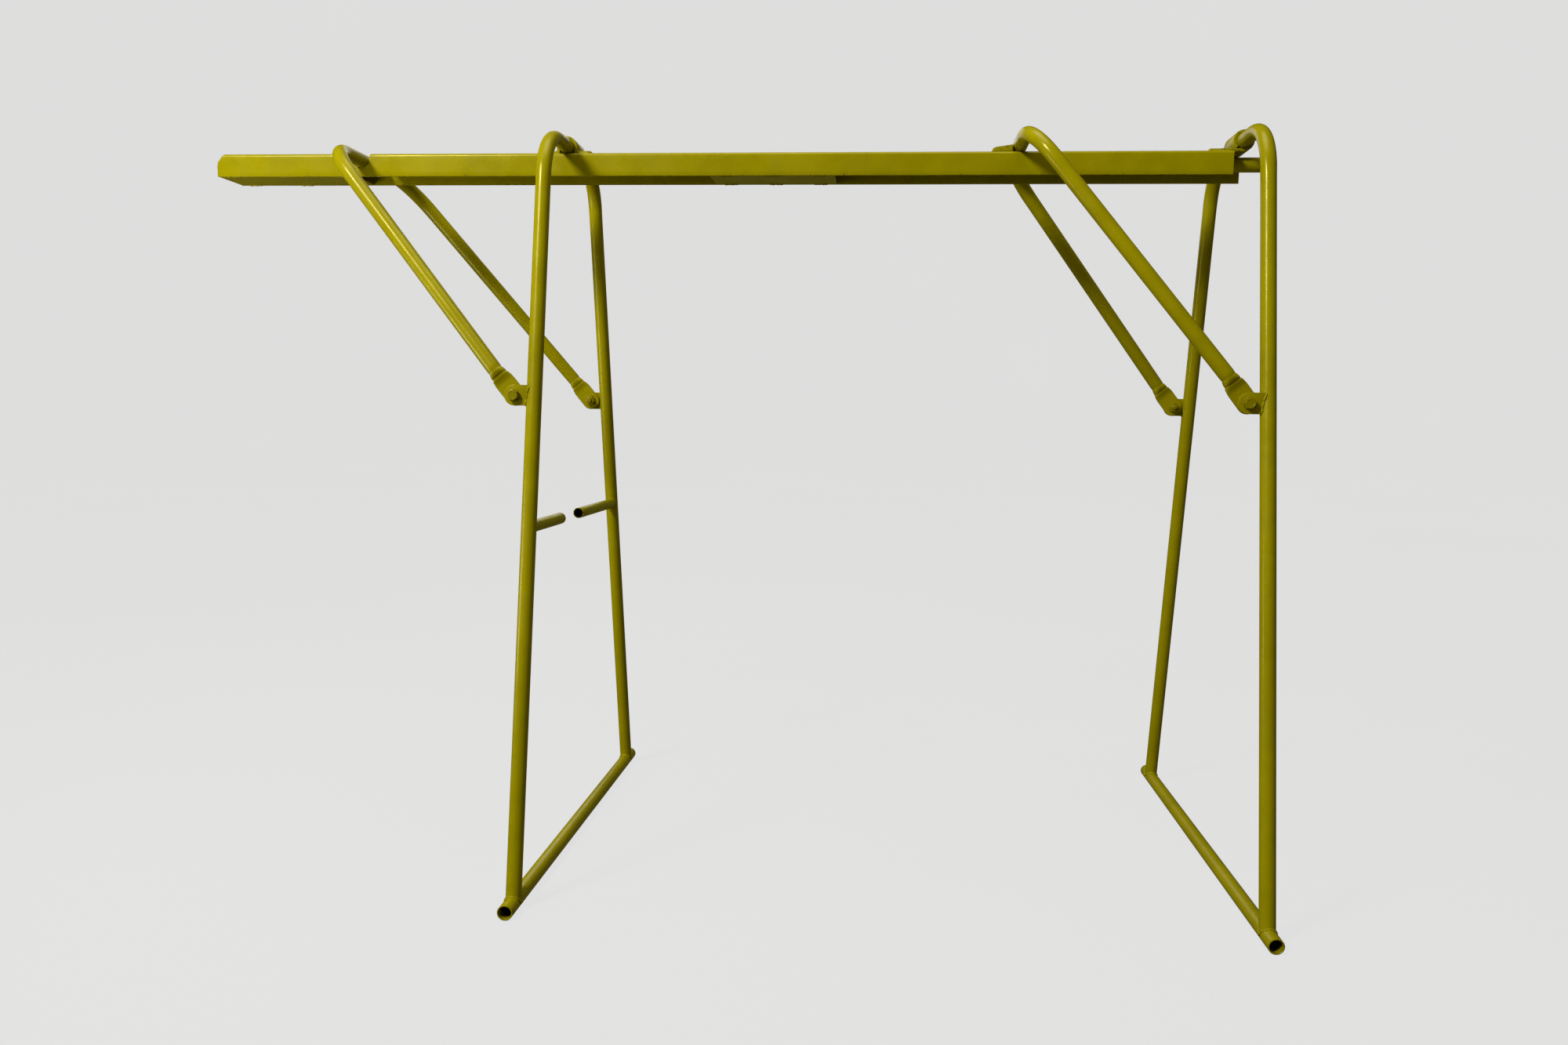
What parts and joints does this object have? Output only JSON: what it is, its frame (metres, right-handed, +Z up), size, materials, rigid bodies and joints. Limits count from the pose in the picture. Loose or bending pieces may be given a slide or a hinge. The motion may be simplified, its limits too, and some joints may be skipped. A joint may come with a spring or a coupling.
{
  "type": "folding sawhorse",
  "caption": "Folding steel sawhorse: channel beam on hinged tube leg frames with foot bars, each frame held by a hairpin brace bolted to its legs and seated on the beam.",
  "frame": {"origin": "on the floor, under the middle of the whole object", "axes": "+X along the beam towards the end with the spigot, +Y towards the rear, +Z up"},
  "size_m": [1.5, 0.718, 1.0292],
  "materials": {
    "paint": "semi-gloss olive yellow",
    "fasteners": "semi-gloss olive yellow, painted over with the frame"
  },
  "bodies": {
    "beam": {"beam_channel": "paint", "left_batten": "paint", "middle_batten": "paint", "beam_spigot": "paint", "right_loop_stop": "paint", "left_pivot_strap": "paint", "right_pivot_strap": "paint"},
    "left_leg": {"left_leg_tube": "paint", "left_foot_bar": "paint", "left_front_lug": "paint", "left_front_bolt": "fasteners", "left_front_bolt_washer": "fasteners", "left_front_nut_washer": "fasteners", "left_front_nut": "fasteners", "left_front_stub": "paint", "left_rear_lug": "paint", "left_rear_bolt": "fasteners", "left_rear_bolt_washer": "fasteners", "left_rear_nut_washer": "fasteners", "left_rear_nut": "fasteners", "left_rear_stub": "paint"},
    "left_brace": {"left_brace_tube": "paint"},
    "right_leg": {"right_leg_tube": "paint", "right_foot_bar": "paint", "right_front_lug": "paint", "right_front_bolt": "fasteners", "right_front_bolt_washer": "fasteners", "right_front_nut_washer": "fasteners", "right_front_nut": "fasteners", "right_rear_lug": "paint", "right_rear_bolt": "fasteners", "right_rear_bolt_washer": "fasteners", "right_rear_nut_washer": "fasteners", "right_rear_nut": "fasteners"},
    "right_brace": {"right_brace_tube": "paint"}
  },
  "joints": [
    {"name": "left_leg_fold", "type": "hinge", "parent": "beam", "child": "left_leg", "pos_m": [-0.236, 0, 1.0103], "axis": [0, 1, 0], "range_deg": [0, 86]},
    {"name": "right_leg_fold", "type": "hinge", "parent": "beam", "child": "right_leg", "pos_m": [0.707, 0, 1.0148], "axis": [0, 1, 0], "range_deg": [0, 86]},
    {"name": "left_brace_fold", "type": "hinge", "parent": "left_leg", "child": "left_brace", "pos_m": [-0.2614, 0, 0.6555], "axis": [0, 1, 0], "range_deg": [0, 39.22]},
    {"name": "right_brace_fold", "type": "hinge", "parent": "right_leg", "child": "right_brace", "pos_m": [0.6816, 0, 0.6555], "axis": [0, 1, 0], "range_deg": [0, 37.9]}
  ],
  "couplings": [
    {"joint": "right_leg_fold", "follows": "left_leg_fold", "ratio": 1},
    {"joint": "left_brace_fold", "follows": "left_leg_fold", "ratio": 0.456}
  ]
}
